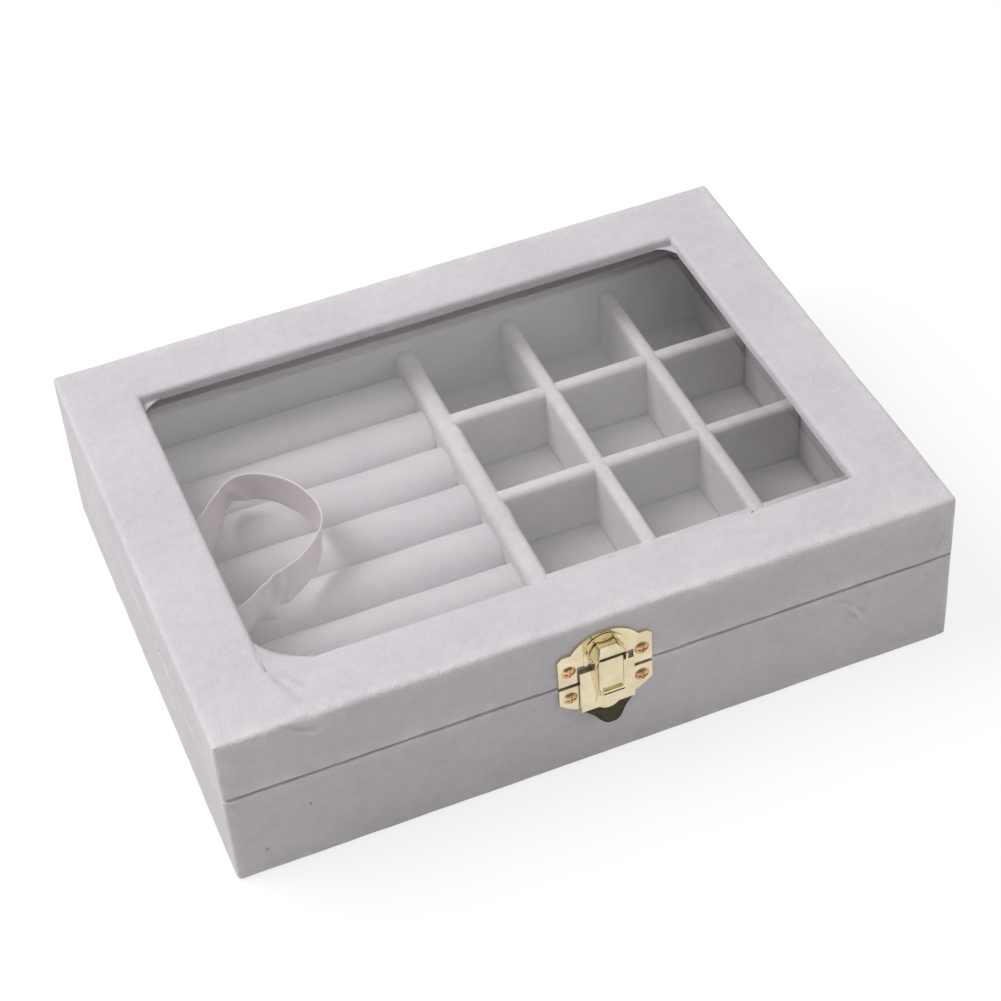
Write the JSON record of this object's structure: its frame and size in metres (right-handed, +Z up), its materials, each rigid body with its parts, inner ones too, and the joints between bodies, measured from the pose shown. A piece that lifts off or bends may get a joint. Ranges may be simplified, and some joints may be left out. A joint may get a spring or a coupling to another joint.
{
  "type": "ring display box",
  "caption": "Velvet-covered box with a hinged window lid, ring rolls on one side, a divided tray on the other, a ribbon stay and a snap latch on the front.",
  "frame": {"origin": "middle of the underside, where the box stands on a table", "axes": "+X along the front to the right, +Y to the back where the hinges are, +Z up"},
  "size_m": [0.2, 0.1596, 0.05],
  "materials": {
    "outer_velvet": "short-pile velvet, pale lilac grey",
    "lining_velvet": "short-pile velvet lining",
    "roll_velvet": "velvet over foam",
    "satin_ribbon": "semi-sheer satin",
    "fibreboard": "raw fibreboard",
    "card": "felt-faced card",
    "glass": "clear float glass",
    "pale_brass": "polished, pale gold plate",
    "copper_plate": "copper-plated steel"
  },
  "bodies": {
    "base": {"base_front_board": "fibreboard", "base_back_board": "fibreboard", "base_side_boards": "fibreboard", "base_floor_board": "fibreboard", "base_cover": "outer_velvet", "underside_sheet": "card", "base_liner": "lining_velvet", "ring_bed": "card", "ring_roll_1": "roll_velvet", "ring_roll_2": "roll_velvet", "ring_roll_3": "roll_velvet", "ring_roll_4": "roll_velvet", "ring_roll_5": "roll_velvet", "ring_roll_6": "roll_velvet", "ring_roll_7": "roll_velvet", "ring_roll_8": "roll_velvet", "centre_partition": "lining_velvet", "compartment_pad": "lining_velvet", "long_divider_1": "lining_velvet", "long_divider_2": "lining_velvet", "cross_divider_1": "lining_velvet", "cross_divider_2": "lining_velvet", "cross_divider_3": "lining_velvet", "ribbon_stay": "satin_ribbon", "hinge_base_leaves": "pale_brass", "hinge_pins": "pale_brass", "hinge_base_screws": "pale_brass", "latch_keeper": "pale_brass", "latch_keeper_screws": "copper_plate"},
    "lid": {"lid_front_board": "fibreboard", "lid_back_board": "fibreboard", "lid_side_boards": "fibreboard", "lid_window_frame": "fibreboard", "lid_cover": "outer_velvet", "lid_liner": "lining_velvet", "glass_pane": "glass", "glass_retainer": "lining_velvet", "hinge_lid_leaves": "pale_brass", "hinge_lid_screws": "pale_brass", "latch_plate": "pale_brass", "latch_plate_screws": "copper_plate", "latch_pin": "pale_brass"},
    "latch_flap": {"latch_flap": "pale_brass"}
  },
  "joints": [
    {"name": "lid_hinge", "type": "hinge", "parent": "base", "child": "lid", "pos_m": [0, 0.0766, 0.0302], "axis": [-1, 0, 0], "range_deg": [0, 90], "deforming": ["ribbon_stay"]},
    {"name": "latch_flap_hinge", "type": "hinge", "parent": "lid", "child": "latch_flap", "pos_m": [0.0008, -0.0779, 0.0394], "axis": [-1, 0, 0], "range_deg": [0, 80]}
  ]
}
